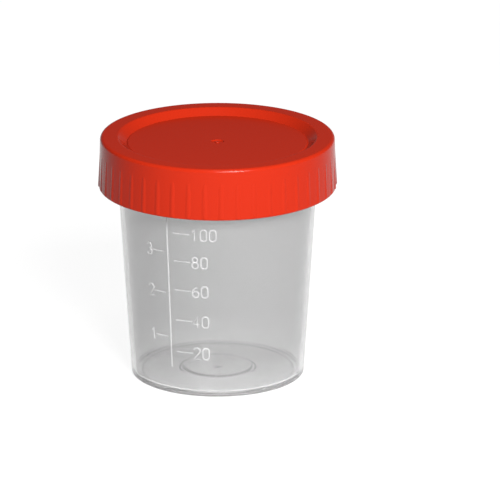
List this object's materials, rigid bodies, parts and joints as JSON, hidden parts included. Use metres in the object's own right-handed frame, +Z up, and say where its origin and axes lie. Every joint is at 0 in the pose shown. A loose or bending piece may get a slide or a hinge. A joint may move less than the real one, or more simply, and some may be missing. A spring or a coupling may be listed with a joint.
{
  "type": "urine specimen cup",
  "caption": "Tapered see-through specimen cup with a moulded volume scale, a ribbed screw cap and a soft sealing ring under it.",
  "frame": {"origin": "middle of the circle that the cup stands on", "axes": "+Z up along the cup's axis; the moulded scale faces -Y, a little towards -X"},
  "size_m": [0.0704, 0.0704, 0.0725],
  "materials": {
    "clear_polypropylene": "see-through, faintly hazy, smooth moulded",
    "red_polypropylene": "satin moulded red",
    "soft_seal": "smooth soft off-white"
  },
  "bodies": {
    "cup": {"cup_body": "clear_polypropylene"},
    "seal": {"sealing_ring": "soft_seal"},
    "cap": {"screw_cap": "red_polypropylene"}
  },
  "joints": [
    {"name": "cap_rise", "type": "slide", "parent": "cup", "child": "seal", "axis": [0, 0, 1], "range_m": [0, 0.0161]},
    {"name": "cap_turn", "type": "hinge", "parent": "seal", "child": "cap", "pos_m": [0, 0, 0.0707], "axis": [0, 0, 1], "range_deg": [0, 720]}
  ],
  "couplings": [
    {"joint": "cap_rise", "follows": "cap_turn", "m_per_rad": 0.0012732}
  ]
}
